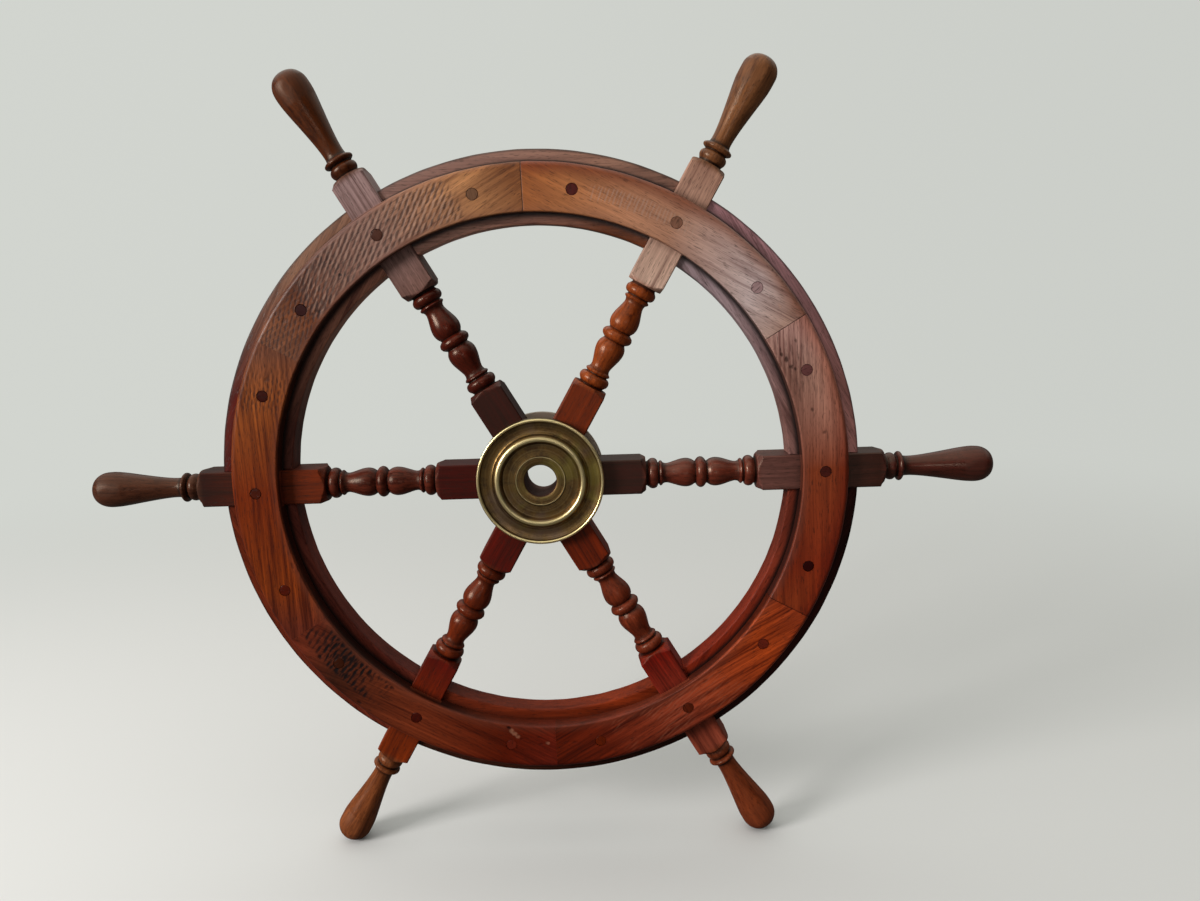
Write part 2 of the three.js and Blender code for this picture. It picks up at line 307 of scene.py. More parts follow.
def face_felloe(number, front, name):
    """A felloe of the front or rear ring, over one spoke."""
    round_r, bevel = 5.0, 1.4
    cells, stations = (44, 280) if front else (14, 60)
    seat, top = MIDDLE_HALF + GAP, RIM_HALF
    # Points of [radius, y, share], where share is how much of the face's wear reaches them.
    bevelled, rounded, flat = 0.4, 0.6, 1.0
    profile = [(FACE_INNER, seat, 0), (FACE_INNER, top - bevel - 4.0, 0)]
    profile += [(r, y, bevelled) for r, y in arc(FACE_INNER + bevel, top - bevel, bevel, 180, 95, 4)]
    flat_from, flat_to = FACE_INNER + bevel + 0.4, FACE_OUTER - round_r
    profile += [(flat_from + (flat_to - flat_from) * i / cells, top, flat) for i in range(cells)]
    outer_arc = arc(FACE_OUTER - round_r, top - round_r, round_r, 90, 0, 8)
    profile += [(r, y, rounded) for r, y in outer_arc]
    profile += [(FACE_OUTER, seat, 0)]
    before, after = (number - 2) % SPOKES + 1, number % SPOKES + 1
    joints = (before, number), (number, after)
    gaps = [GAP if joint in OPEN_JOINTS else CLOSED_GAP for joint in joints]
    start, stop = (PITCH / 2 - math.degrees(gap / 2 / DOWEL_CIRCLE) for gap in gaps)
    ease = math.degrees(0.5 / DOWEL_CIRCLE)
    between = [PITCH * (i / stations - 0.5) for i in range(1, stations)]
    at = [-start, ease - start, *between, stop - ease, stop]
    side = -1.0 if front else 1.0
    verts, worn = [], []
    for i, angle in enumerate(at):
        joint = {0: joints[0], len(at) - 1: joints[1]}.get(i)
        sink = OPEN_JOINT_SINK if joint in OPEN_JOINTS else 0.0
        turn = math.radians(angle)
        for r, y, share in profile:
            depth, wear_and_shade = 0.0, 0.0
            if share and front:
                depth, wear_and_shade = face_depth(number, r, angle)
                depth *= share
            elif share:
                depth = 0.1 * (0.5 + 0.5 * ripple(r, angle, number * 5.0, 30.0)) * share
            if share:
                depth += sink
                wear_and_shade += 0.7 if sink else 0.0
            # Painted shade: the front ring's inner wall takes the step's painted shade, and the back of its
            # outer side is darkened toward the middle layer.
            elif r < FACE_INNER + 1:
                wear_and_shade = groove_shade((number - 1) * PITCH + FACE_TURN + angle)
            elif y < top - 8:
                wear_and_shade = 0.6
            worn.append(wear_and_shade)
            wave = 0.25 * ripple(angle * 5, r * 0.2, number * 11.0, 14.0)
            reach = r + wave - 0.3 if share == rounded else r
            verts.append((reach * math.cos(turn), side * (y - depth), reach * math.sin(turn)))
    count = len(profile)
    faces = loop_faces(len(at), count)
    faces.append(tuple(range(count)))
    faces.append(tuple((len(at) - 1) * count + j for j in reversed(range(count))))
    angle = (number - 1) * PITCH
    ob = new_object(name, verts, faces, angle + FACE_TURN, wear_and_shade=worn)
    notch_half = STOCK_HALF + GAP
    low, high = sorted((side * 12.0, side * notch_half))
    near, far = (FACE_INNER - 6, low, -notch_half), (FACE_OUTER + 6, high, notch_half)
    cutters = [box_cutter("notch", near, far, angle)]
    cutters += [dowel_hole(angle + offset) for offset in DOWEL_ANGLES.values()]
    cut(ob, cutters, FELLOE_CREASE)
    return ob


def middle_felloe(number, name):
    """The middle layer's filler between two spokes."""
    edge, columns = 1.8, 4
    profile = []
    for cr, cy, start in (
        (MIDDLE_OUTER - edge, MIDDLE_HALF - edge, 90), (MIDDLE_OUTER - edge, edge - MIDDLE_HALF, 0),
        (MIDDLE_INNER + edge, edge - MIDDLE_HALF, -90), (MIDDLE_INNER + edge, MIDDLE_HALF - edge, -180),
    ):
        profile += arc(cr, cy, edge, start, start - 90, columns)
    dense = []
    for i, p in enumerate(profile):
        q = profile[(i + 1) % len(profile)]
        span = math.dist(p, q)
        parts = max(1, round(span / 6.0))
        dense += [tuple(np.array(p) + (np.array(q) - np.array(p)) * s / parts) for s in range(parts)]
    stations = 70
    verts = []
    for i in range(stations + 1):
        t = 2 * i / stations - 1
        for r, y in dense:
            # The ends run parallel to the spokes beside them, so the reach depends on the radius.
            reach = PITCH / 2 - math.degrees(math.asin((STOCK_HALF + GAP) / r))
            angle = math.radians(t * reach)
            wave = 0.25 * ripple(t * 90, y * 2, number * 13.0, 12.0)
            rr = r + (wave - 0.25 if r > 280 else 0.25 - wave)
            yy = y - math.copysign(0.15 * (1 + ripple(t * 70, r, number, 16.0)), y)
            verts.append((rr * math.cos(angle), yy, rr * math.sin(angle)))
    count = len(dense)
    faces = loop_faces(stations + 1, count)
    faces.append(tuple(range(count)))
    faces.append(tuple(stations * count + j for j in reversed(range(count))))
    angle = (number - 0.5) * PITCH
    ob = new_object(name, verts, faces, angle)
    ends = (DOWEL_ANGLES["c"] - PITCH / 2, DOWEL_ANGLES["a"] + PITCH / 2)
    cut(ob, [dowel_hole(angle + offset) for offset in ends], FELLOE_CREASE)
    return ob


def dowel(name, angle, seed):
    """A dowel whose ends are planed almost flush with the rim's faces."""
    top = RIM_HALF - 0.25
    verts = []
    rings = [(0.35, 0.0), (0.7, 0.0), (0.93, 0.0), (1.0, 0.3), (1.0, 3.0)]
    half = [(f * DOWEL_RADIUS, top - d) for f, d in rings]
    outline = half + [(r, -y) for r, y in reversed(half)]
    for r, y in outline:
        for j in range(PIN_SIDES):
            a = 2 * math.pi * j / PIN_SIDES
            rr = r * (1 + 0.03 * ripple(math.cos(a) * 2, math.sin(a) * 2, seed, 1.0))
            x, z = rr * math.cos(a), rr * math.sin(a)
            tilt = 0.03 * (x * math.cos(seed) + z * math.sin(seed)) + 0.12 * ripple(x, z, seed, 2.0)
            yy = math.copysign(min(abs(y) - abs(tilt), RIM_HALF), y)
            verts.append((DOWEL_CIRCLE + x, yy, z))
    verts += [(DOWEL_CIRCLE, top - 0.1, 0.0), (DOWEL_CIRCLE, 0.1 - top, 0.0)]
    return new_object(name, verts, capped_faces(len(outline)), angle)


# ------------------------ spokes

INNER_BLOCK_END = 104.0
OUTER_BLOCK_START = 219.0
OUTER_BLOCK_END = 344.0
UNCUT = 30.0

# Half of the baluster, from the inner block's end to the central bead, as smooth runs
# of [distance from the block's end, radius]. Runs meet at crisp turned edges.
HALF_BALUSTER = [
    [(-4.2, 26.0), (-2.0, 21.5), (0.2, 18.6), (1.6, 17.2)],
    [(1.6, 17.2), (2.1, 12.7), (2.9, 12.4)],
    [(2.9, 12.4), (4.4, 13.4), (6.4, 15.0), (9.0, 15.6), (11.6, 15.0), (13.4, 13.4), (14.2, 11.2)],
    [(14.2, 11.2), (15.0, 11.0), (15.6, 12.0), (17.0, 12.9), (18.4, 12.0), (19.3, 10.8)],
    [(19.3, 10.8), (21.2, 10.1), (23.5, 10.0), (27.0, 10.8), (32.0, 12.4), (37.5, 14.0), (43.0, 14.6),
     (47.5, 13.7), (50.6, 11.9), (51.8, 11.2)],
    [(51.8, 11.2), (52.8, 12.6), (54.4, 14.6), (56.2, 15.5), (57.5, 15.8)],
]

# Collar and grip, as smooth runs of [distance from the spoke's centre, radius].
HANDLE = [
    [(339.8, 26.0), (342.0, 21.5), (344.2, 18.6), (345.6, 17.2)],
    [(345.6, 17.2), (346.2, 11.8), (347.6, 11.5)],
    [(347.6, 11.5), (349.2, 12.2), (351.4, 13.4), (354.0, 13.8), (356.4, 13.0), (358.2, 11.2)],
    [(358.2, 11.2), (359.2, 10.8), (360.0, 12.6), (361.2, 14.4), (362.5, 14.9), (363.8, 14.4), (365.0, 12.6),
     (366.0, 10.8)],
    [(366.0, 10.8), (367.6, 10.2), (371.0, 9.9), (377.0, 10.1), (386.0, 11.0), (398.0, 12.7), (410.0, 14.6),
     (421.0, 16.4), (431.0, 17.7), (438.5, 18.1), (445.0, 17.3), (450.0, 15.1), (453.6, 11.9),
     (455.9, 7.6), (456.8, 3.2)],
]


def turning():
    """The turned outline from the hub to the tip, as [distance, radius]."""
    middle = (INNER_BLOCK_END + OUTER_BLOCK_START) / 2
    run = [(BUSH_RADIUS + GAP, UNCUT), (INNER_BLOCK_END - 4.3, UNCUT)]
    half = []
    for part in HALF_BALUSTER:
        half += catmull(part, 3)
    run += [(INNER_BLOCK_END + s, r) for s, r in half]
    run += [(middle * 2 - INNER_BLOCK_END - s, r) for s, r in reversed(half)][1:]
    run += [(OUTER_BLOCK_END - 4.3, UNCUT)]
    for part in HANDLE:
        run += catmull(part, 3)
    return run


EASED_CORNER = 1.1


def spoke_angles():
    """Angles round a spoke: evenly spread, but with one at each end and the middle of each of
    the square's eased corners."""
    even, closest = 64, 0.8
    start = math.degrees(math.atan2(STOCK_HALF - EASED_CORNER, STOCK_HALF))
    ends = [q * 90 + a for q in range(4) for a in (start, 90 - start)]
    middles = [q * 90 + 45.0 for q in range(4)]
    kept = []
    for a in sorted({*ends, *middles, *(360 * j / even for j in range(even))}):
        if not kept or a - kept[-1] > closest:
            kept.append(a)
        elif a in ends:
            kept[-1] = a
    return [math.radians(a) for a in kept]


def spoke_stations():
    """The turned outline, with the long square stretches divided."""
    longest, stride = 8, 6
    stations = []
    for s, r in turning():
        if stations and s - stations[-1][0] > longest and r >= 20:
            start = stations[-1][0]
            parts = round((s - start) / stride)
            stations += [(start + (s - start) * i / parts, UNCUT) for i in range(1, parts)]
        if not stations or s - stations[-1][0] > 1e-4:
            stations.append((s, r))
        else:
            stations[-1] = (stations[-1][0] + 2e-3, r)
    return stations


def spoke(number, name):
    """A spoke in one length, square where it passes the hub and the rim, and turned elsewhere."""
    angles, stations = spoke_angles(), spoke_stations()
    slope = math.tan(math.radians(PITCH / 2))
    nearby = 3.2
    verts, wear_and_shade = [], []
    for s, r in stations:
        # Painted shade, with some dirt, darkens the turned hollows and the square blocks where they meet the
        # rim.
        near = [min(q, STOCK_HALF) for t, q in stations if abs(t - s) < nearby]
        hollow = sum(near) / len(near) - min(r, STOCK_HALF)
        grime_and_shade = limited(hollow / 1.3) if r < STOCK_HALF + 1 else 0.0
        if r > STOCK_HALF + 1:
            contact = min(abs(s - FACE_INNER + 1), abs(s - FACE_OUTER - 1))
            grime_and_shade = max(0.0, 0.6 - contact / 5)
        widest = s * slope - GAP / 2 / math.cos(math.radians(PITCH / 2))
        worn = 0.18 * ripple(s, 0, number * 19.0, 17.0)
        for a in angles:
            c, d = abs(math.cos(a)), abs(math.sin(a))
            square = min(STOCK_HALF / max(c, 1e-9), STOCK_HALF / max(d, 1e-9),
                         (2 * STOCK_HALF - EASED_CORNER - worn) / (c + d))
            rr = min(square, r, widest / max(d, 1e-9))
            verts.append((s, rr * math.cos(a), rr * math.sin(a)))
            wear_and_shade.append(grime_and_shade)
    count = len(angles)
    faces = loop_faces(len(stations), count)
    faces.append(tuple(range(count)))
    verts.append((TIP, 0.0, 0.0))
    wear_and_shade.append(0.0)
    base = (len(stations) - 1) * count
    faces += [(base + j, base + (j + 1) % count, len(verts) - 1) for j in range(count)]
    angle = (number - 1) * PITCH
    ob = new_object(name, verts, faces, angle, crease=SPOKE_CREASE, wear_and_shade=wear_and_shade)
    cut(ob, [dowel_hole(angle + DOWEL_ANGLES["b"])], SPOKE_CREASE)
    return ob


# ------------------------ hub

def front_flange(name):
    seat = STOCK_HALF + GAP
    outline = [(BUSH_RADIUS + GAP, seat), (HUB_RADIUS, seat), (HUB_RADIUS, 26.0)]
    outline += arc(61.9, 26.7, 1.6, 0, 180, 10)
    outline += [(60.1, 26.0), (59.7, 24.9)]
    outline += catmull([(59.2, 24.4), (56.0, 23.6), (52.5, 23.4), (49.5, 23.7), (48.3, 24.3)], 4)
    outline += [(48.2, 23.7), (47.7, 23.7), (47.4, 24.4)]
    outline += catmull([(47.2, 24.8), (46.0, 26.2), (44.4, 27.4), (42.6, 27.85), (41.0, 27.3),
                        (39.6, 26.0), (38.6, 24.3), (38.1, 22.8)], 4)
    outline += catmull([(37.7, 22.2), (35.0, 22.0), (30.0, 22.0), (26.2, 22.1),
                        (BUSH_RADIUS + GAP, 22.3)], 3)
    return turned_ring(name, [(r, -y) for r, y in outline], 192)


def rear_flange(name):
    seat = STOCK_HALF + GAP
    outline = [(BUSH_RADIUS + GAP, seat), (HUB_RADIUS, seat), (HUB_RADIUS, REAR_FACE - 2.6)]
    outline += arc(HUB_RADIUS - 2.5, REAR_FACE - 2.5, 2.5, 0, 90, 7)
    for groove, width, depth in ((54.0, 1.6, 0.5), (34.0, 1.4, 0.4)):
        outline += [(groove, REAR_FACE), (groove - 0.4, REAR_FACE - depth),
                    (groove + 0.4 - width, REAR_FACE - depth), (groove - width, REAR_FACE)]
    outline += [(BUSH_RADIUS + GAP, REAR_FACE)]
    ob = turned_ring(name, outline, 144)
    shank, head, lid = 2.5, 4.9, REAR_FACE + 2
    hole = [(0, 10), (shank, 10), (shank, REAR_FACE - 3.4), (head, REAR_FACE - 0.8), (head, lid), (0, lid)]
    cut(ob, [pin("hole", hole, SCREW_CIRCLE, i * PITCH) for i in range(SPOKES)], METAL_CREASE)
    return ob


def bush(name):
    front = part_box("hub_bush")[0][1] / MM
    outline = [(BORE_RADIUS, front + 2.0), (BORE_RADIUS + 0.5, front + 1.3)]
    outline += [(BORE_RADIUS + 1.4, front + 0.9), (20.5, front + 0.7), (23.6, front + 0.6)]
    outline += [(23.9, front + 0.1), (24.3, front)]
    outline += [(24.8, front + 0.1), (BUSH_RADIUS, front + 0.4)]
    outline += [(BUSH_RADIUS, REAR_FACE - 0.3), (BUSH_RADIUS - 0.3, REAR_FACE)]
    outline += [(BORE_RADIUS + 1.0, REAR_FACE), (BORE_RADIUS, REAR_FACE - 1.0)]
    return turned_ring(name, outline, 96)


def screw(name, index):
    """A countersunk wood screw whose slot points its own way."""
    top = REAR_FACE - 0.3
    outline = [(0, 4.3), (0.6, 4.4), (2.2, 8.0), (2.2, top - 3.2), (4.3, top - 0.5), (4.6, top - 0.15),
               (4.45, top), (2.5, top), (0, top)]
    ob = pin(name, outline, SCREW_CIRCLE, index * PITCH)
    turn = math.radians(25 + 47 * index)
    slot_box = box_cutter("slot", (-6, top - 1.3, -0.55), (6, top + 1, 0.55), 0)
    out = Matrix.Translation((SCREW_CIRCLE * MM, 0, 0))
    round_hub = Matrix.Rotation(-math.radians(index * PITCH), 4, "Y")
    slot_box.matrix_world = round_hub @ out @ Matrix.Rotation(turn, 4, "Y")
    bpy.context.view_layer.update()
    cut(ob, [slot_box], METAL_CREASE)
    return ob


# ------------------------ materials

def srgb(r, g, b):
    """Linear colour from ordinary 0-255 values."""
    out = []
    for c in (r, g, b):
        c /= 255
        out.append(c / 12.92 if c <= 0.04045 else ((c + 0.055) / 1.055) ** 2.4)
    return (*out, 1.0)


class Nodes:
    """A short way to build a node tree."""

    def __init__(self, tree):
        self.tree = tree

    def add(self, kind, values=None, **props):
        node = self.tree.nodes.new("ShaderNode" + kind)
        for key, value in props.items():
            setattr(node, key, value)
        for key, value in (values or {}).items():
            self.put(node.inputs[key], value)
        return node

    def put(self, socket, value):
        if isinstance(value, bpy.types.NodeSocket):
            self.tree.links.new(value, socket)
        else:
            socket.default_value = value

    def math(self, op, a, b=0.0, clamp=False):
        return self.add("Math", {0: a, 1: b}, operation=op, use_clamp=clamp).outputs[0]

    def plus(self, a, b):
        return self.math("ADD", a, b)

    def minus(self, a, b):
        return self.math("SUBTRACT", a, b)

    def times(self, a, b, clamp=False):
        return self.math("MULTIPLY", a, b, clamp)

    def vector(self, op, a, b):
        return self.add("VectorMath", {0: a, 1: b}, operation=op).outputs[0]

    def split(self, at):
        return self.add("SeparateXYZ", {0: at}).outputs

    def join(self, x, y, z):
        return self.add("CombineXYZ", {0: x, 1: y, 2: z}).outputs[0]

    def noise(self, at, scale, detail=2.0, rough=0.5):
        values = {"Vector": at, "Scale": scale, "Detail": detail, "Roughness": rough}
        return self.add("TexNoise", values).outputs[0]

    def steps(self, value, low, high, to_low=0.0, to_high=1.0):
        """A smooth change from to_low to to_high while the value goes from low to high."""
        values = {0: value, 1: low, 2: high, 3: to_low, 4: to_high}
        return self.add("MapRange", values, interpolation_type="SMOOTHSTEP").outputs[0]

    def band(self, value, low, high, soft):
        """1 where the value lies between low and high, fading over soft outside them."""
        rise = self.steps(value, low - soft, low)
        return self.times(rise, self.steps(value, high, high + soft, 1.0, 0.0))

    def mix(self, amount, a, b, blend="MIX"):
        node = self.add("Mix", data_type="RGBA", blend_type=blend)
        self.put(node.inputs[0], amount)
        self.put(node.inputs[6], a)
        self.put(node.inputs[7], b)
        return node.outputs[2]

    def ramp(self, value, stops):
        """A colour that changes along a value, from stops of (value, (r, g, b))."""
        low, high = stops[0][0], stops[-1][0]
        share = self.add("MapRange", {0: value, 1: low, 2: high, 3: 0.0, 4: 1.0}).outputs[0]
        node = self.add("ValToRGB", {0: share})
        cells = node.color_ramp.elements
        while len(cells) > 1:
            cells.remove(cells[-1])
        for i, (where, colour) in enumerate(stops):
            place = (where - low) / (high - low)
            cell = cells[0] if i == 0 else cells.new(place)
            cell.position = place
            cell.color = srgb(*colour)
        return node.outputs[0]


def new_material(name):
    """A material, with its nodes and the inputs of its surface."""
    mat = bpy.data.materials.new(name)
    mat.use_nodes = True
    return mat, Nodes(mat.node_tree), mat.node_tree.nodes["Principled BSDF"].inputs


# Tints multiply what is under them, and fills cover it.
LIGHT_WOOD_TINT, DARK_WOOD_TINT = (1.50, 1.56, 1.56, 1.0), (0.36, 0.27, 0.27, 1.0)
PLAIN_WOOD_TINT = (0.96, 0.96, 0.96, 1.0)
# This tint darkens real dirt and dark marks, and painted shade in creases too.
GRIME_AND_SHADE_TINT = (0.10, 0.06, 0.05, 1.0)
PORE_FILL = (0.010, 0.004, 0.003, 1.0)
SPECK_FILL = (0.02, 0.008, 0.006, 1.0)
# The crease fill is painted shade in the middle layer's creases.
CREASE_SHADE_FILL = (0.012, 0.006, 0.005, 1.0)
RUBBED_FILL = srgb(206, 150, 118)
PORE_COVER, GRIME_AND_SHADE_COVER, RUBBED_COVER = 0.6, 0.9, 0.45


def grain_group():
    """Rosewood figure: bands, streaks, fibres and pores. X is along the grain, in metres."""
    tree = bpy.data.node_groups.new("Rosewood", "ShaderNodeTree")
    sockets = {"INPUT": (("Vector", "Vector"), ("Tone", "Color"), ("Seed", "Float"), ("Figure", "Float"),
                         ("Streaks", "Float")),
               "OUTPUT": (("Color", "Color"), ("Height", "Float"), ("Gloss", "Float"))}
    for side, rows in sockets.items():
        for name, kind in rows:
            tree.interface.new_socket(name=name, in_out=side, socket_type="NodeSocket" + kind)
    n = Nodes(tree)
    inputs = tree.nodes.new("NodeGroupInput").outputs
    start = n.vector("ADD", inputs["Vector"], n.join(*[inputs["Seed"]] * 3))
    slow = n.vector("MULTIPLY", start, (0.30, 1.0, 1.0))
    warp = n.add("TexNoise", {"Vector": slow, "Scale": 14.0, "Detail": 2.0}).outputs[1]
    warp = n.vector("SUBTRACT", warp, (0.5, 0.5, 0.5))
    warp = n.vector("MULTIPLY", warp, (0.0, 0.012, 0.012))
    at = n.vector("ADD", start, warp)

    def layer(along, across, detail, rough):
        """Noise that changes about this many times a metre along the grain and across it."""
        return n.noise(n.vector("MULTIPLY", at, (along, across, across)), 1.0, detail, rough)

    broad = layer(4.0, 20.0, 2.0, 0.5)
    bands = layer(5.0, 110.0, 3.0, 0.6)
    streaks = layer(9.0, 380.0, 2.0, 0.6)
    fibre = layer(26.0, 900.0, 2.0, 0.6)
    pores = n.steps(layer(120.0, 1500.0, 1.0, 0.5), 0.60, 0.70)
    tone = n.times(n.minus(broad, 0.5), 1.2)
    for part, strength in ((bands, inputs["Figure"]), (streaks, inputs["Streaks"]), (fibre, 0.6)):
        tone = n.plus(tone, n.times(n.minus(part, 0.5), strength))
    dark = n.steps(tone, -0.05, 0.62)
    light = n.steps(tone, -0.55, 0.05, 1.0, 0.0)
    gain = n.mix(dark, n.mix(light, PLAIN_WOOD_TINT, LIGHT_WOOD_TINT), DARK_WOOD_TINT)
    colour = n.mix(1.0, inputs["Tone"], gain, "MULTIPLY")
    colour = n.mix(n.times(pores, PORE_COVER), colour, PORE_FILL)
    height = n.minus(n.times(fibre, 0.5), n.times(pores, 0.8))
    height = n.plus(height, n.times(streaks, 0.5))
    gloss = n.plus(n.times(fibre, 0.12), n.times(broad, 0.16))
    out = tree.nodes.new("NodeGroupOutput")
    for name, value in (("Color", colour), ("Height", height), ("Gloss", gloss)):
        n.put(out.inputs[name], value)
    return tree


GRAIN = grain_group()


def wood(name, tones, seed, grain="X", figure=1.15, streaks=1.3, rough=0.30, sheen=0.5, bump=0.2,
         tint=(1.0, 1.0, 1.0, 1.0), marks=None):
    """A varnished wood. tones is one colour, or colours at distances along the grain in metres.
    marks, if given, adds more to (nodes, position, axes, colour, height, roughness)."""
    mat, n, surface = new_material(name)
    n.put(surface["Specular IOR Level"], sheen)
    n.put(surface["Specular Tint"], tint)
    at = n.add("TexCoord").outputs["Object"]
    axes = n.split(at)
    if grain == "Z":
        length, along = axes[2], n.join(axes[2], axes[0], axes[1])
    else:
        length, along = axes[0], at
    group = n.add("Group", node_tree=GRAIN)
    tone = n.ramp(length, tones) if isinstance(tones, list) else srgb(*tones)
    for key, value in (("Vector", along), ("Tone", tone), ("Seed", seed), ("Figure", figure),
                       ("Streaks", streaks)):
        n.put(group.inputs[key], value)
    colour, height = group.outputs["Color"], group.outputs["Height"]
    roughness = n.plus(group.outputs["Gloss"], rough - 0.08)
    if marks:
        colour, height, roughness = marks(n, at, axes, colour, height, roughness)
    # The value each point carries darkens it for real dirt, dark marks and painted shade in creases, and
    # under 0 rubs it pale.
    wear_and_shade = n.add("Attribute", attribute_name="wear_and_shade").outputs["Fac"]
    grime_and_shade_amount = n.times(wear_and_shade, GRIME_AND_SHADE_COVER, clamp=True)
    colour = n.mix(grime_and_shade_amount, colour, n.mix(1.0, colour, GRIME_AND_SHADE_TINT, "MULTIPLY"))
    rubbed = n.times(wear_and_shade, -1.0, clamp=True)
    colour = n.mix(rubbed, colour, n.mix(RUBBED_COVER, colour, RUBBED_FILL))
    n.put(surface["Base Color"], colour)
    n.put(surface["Roughness"], n.plus(roughness, n.times(grime_and_shade_amount, 0.2)))
    bumped = n.add("Bump", {"Strength": bump, "Distance": 0.0006, "Height": height})
    n.put(surface["Normal"], bumped.outputs[0])
    return mat


def distance(n, a, b):
    """The length of the side opposite the right angle between a and b."""
    return n.math("SQRT", n.plus(n.times(a, a), n.times(b, b)))


# How a felloe's face is marked, in metres. The stain is darker by outer from the radius
# outer_from outwards, and greyer by inner at the ring's inner edge. specks is the strength of the
# dark specks, and strokes lie between the radii in reach. A patch of strokes is [from, to] along
# the felloe, the strokes' pitch and length, the direction across them in degrees from the spoke,
# their strength, how much of the patch they cover and their colour.
LIGHT_STROKES, DARK_STROKES = (186, 150, 132), (44, 22, 20)
WARM_STROKES, BLACK_STROKES = (172, 100, 74), (22, 12, 12)
PLAIN_LOOK = dict(outer=0.5, outer_from=0.2975, outer_tint=(0.62, 0.50, 0.50, 1.0), inner=0.3,
                  inner_tint=(110, 62, 46), specks=0.5, reach=(0.2655, 0.299), patches=())
RIM_EDGE = 0.3045
INNER_EDGE = (0.2600, 0.2700)


def stroke_rows(n, at, axes, pitch, dash, turn):
    """Rows of short strokes, laid like bricks and broken up by noise."""
    c, d = math.cos(math.radians(turn)), math.sin(math.radians(turn))
    wobble = n.times(n.minus(n.noise(at, 46.0, 4.0, 0.6), 0.5), 0.0055)
    across = n.plus(n.plus(n.times(axes[0], c), n.times(axes[2], d)), wobble)
    ridge = n.math("SINE", n.times(across, 2 * math.pi / pitch))
    along = n.minus(n.times(axes[2], c), n.times(axes[0], d))
    along = n.plus(along, n.times(across, dash / (2 * pitch)))
    breaks = n.math("SINE", n.times(along, 2 * math.pi / dash))
    stroke = n.plus(ridge, n.times(breaks, 0.5))
    return n.steps(n.plus(stroke, n.times(n.noise(at, 220.0, 3.0), 2.4)), 0.9, 2.3)


def chatter_marks(look):
    """Saw and plane marks on a felloe's face: rows of short strokes in patches."""
    look = {**PLAIN_LOOK, **look}

    def add(n, at, axes, colour, height, roughness):
        wander = n.times(n.minus(n.noise(at, 40.0, 2.0), 0.5), 0.006)
        radius = n.plus(distance(n, axes[0], axes[2]), wander)
        outer = n.steps(radius, look["outer_from"], RIM_EDGE, 0.0, look["outer"])
        colour = n.mix(outer, colour, n.mix(1.0, colour, look["outer_tint"], "MULTIPLY"))
        inner = n.steps(radius, *INNER_EDGE, look["inner"], 0.0)
        colour = n.mix(inner, colour, srgb(*look["inner_tint"]))
        for low, high, pitch, dash, turn, amount, cover, tint in look["patches"]:
            where = n.band(n.plus(axes[2], n.times(wander, 3.0)), low, high, 0.014)
            where = n.times(where, n.steps(n.noise(at, 26.0, 2.0), 0.55 - cover, 0.75 - cover))
            where = n.times(where, n.band(radius, *look["reach"], 0.004))
            mark = n.times(n.times(stroke_rows(n, at, axes, pitch, dash, turn), where), amount)
            colour = n.mix(mark, colour, srgb(*tint))
            height = n.minus(height, n.times(mark, 1.2))
            roughness = n.plus(roughness, n.times(mark, 0.15))
        specks = n.times(n.steps(n.noise(at, 300.0, 1.0), 0.72, 0.78),
                         n.steps(n.noise(at, 30.0, 1.0), 0.50, 0.60))
        colour = n.mix(n.times(specks, look["specks"]), colour, SPECK_FILL)
        return colour, height, roughness
    return add


def spoke_marks(n, at, axes, colour, height, roughness):
    """A spoke's square blocks keep less of a shine than its turned lengths, and hands have
    polished its handle."""
    square = n.steps(distance(n, axes[1], axes[2]), 0.0166, 0.0172)
    roughness = n.plus(roughness, n.times(square, 0.2))
    handle = n.steps(axes[0], 0.350, 0.365, 0.0, 0.03)
    return colour, height, n.minus(roughness, handle)


def rear_end(n, at, axes, colour, height, roughness):
    """A dowel's rear end keeps the dark stain that its front end may have lost."""
    colour = n.mix(n.steps(axes[1], 0.0, 0.010, 0.0, 0.9), colour, srgb(82, 38, 24))
    return colour, height, roughness


def ledge_marks(inside, outside, groove):
    """The middle layer's two edges, in their own colours: a grey or brown outer side and an inner side.
    Their pale and grey colours on the upper pieces are partly a painted reflection, and their darkest on the
    lower pieces partly painted shade; painted shade also darkens the inner side under the front ring, the
    outer side beside it and the outer edge."""
    def add(n, at, axes, colour, height, roughness):
        radius = distance(n, axes[0], axes[2])
        halfway = n.steps(radius, 0.280, 0.286)
        tone = n.mix(halfway, n.ramp(axes[2], inside), n.ramp(axes[2], outside))
        colour = n.mix(1.0, colour, tone, "MULTIPLY")
        # Painted shade under the front ring, beside it and along the ledge's outer edge.
        shade_under_ring = n.times(n.steps(radius, 0.2540, 0.2595, 0.0, groove),
                             n.steps(radius, 0.270, 0.272, 1.0, 0.0))
        shade_beside_ring = n.times(n.band(radius, 0.300, 0.3072, 0.0028), 0.9)
        shade_at_outer_edge = n.steps(radius, 0.3158, 0.3184, 0.0, 0.75)
        crease = n.math("MAXIMUM", n.math("MAXIMUM", shade_under_ring, shade_beside_ring), shade_at_outer_edge)
        return n.mix(crease, colour, CREASE_SHADE_FILL), height, roughness
    return add


OLIVE_FILL, MAUVE_FILL = srgb(142, 126, 60), srgb(124, 100, 86)
# The bore fill is painted shade on the bore's wall.
BORE_SHADE_FILL = (0.12, 0.050, 0.036, 1.0)
# The back fill is a painted reflection on the rear flange's front side.
BACK_REFLECTION_FILL = srgb(206, 190, 170)


